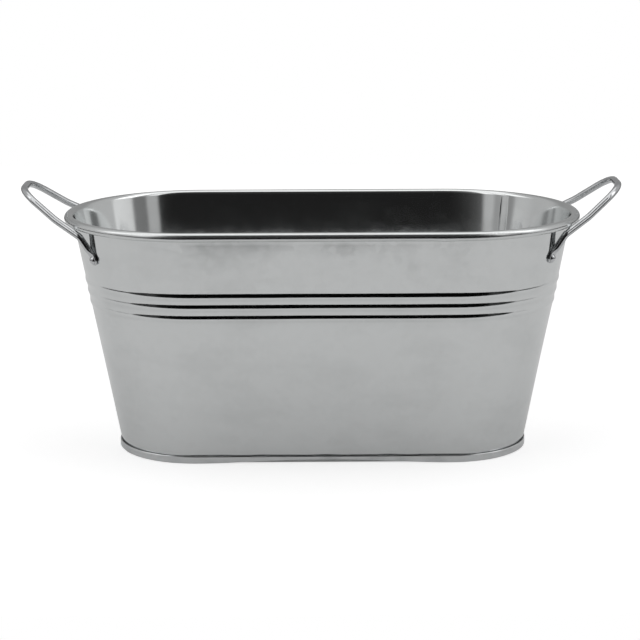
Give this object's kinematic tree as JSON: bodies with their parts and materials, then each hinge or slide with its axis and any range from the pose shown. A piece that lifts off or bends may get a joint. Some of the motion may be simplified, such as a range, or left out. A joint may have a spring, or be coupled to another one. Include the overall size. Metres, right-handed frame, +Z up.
{
  "type": "tub",
  "caption": "Small oval tub of galvanised sheet with a leaning wall, raised beads, a rolled rim over wire, a locked foot seam and riveted wire handles at the ends.",
  "frame": {"origin": "on the ground under the middle of the tub, without its handles", "axes": "+Z up, +X along the length towards the right handle, the front seen in the picture is at -Y"},
  "size_m": [0.3472, 0.1524, 0.1578],
  "materials": {
    "zinc_sheet": "bright galvanised sheet, lightly smudged",
    "zinc_wire": "smooth galvanised wire",
    "steel_wire": "bare drawn wire, hidden in the rim"
  },
  "bodies": {
    "root": {"wall": "zinc_sheet", "rim_wire": "steel_wire", "bottom": "zinc_sheet", "left_handle": "zinc_wire", "right_handle": "zinc_wire", "handle_rivets": "zinc_wire"}
  },
  "joints": []
}
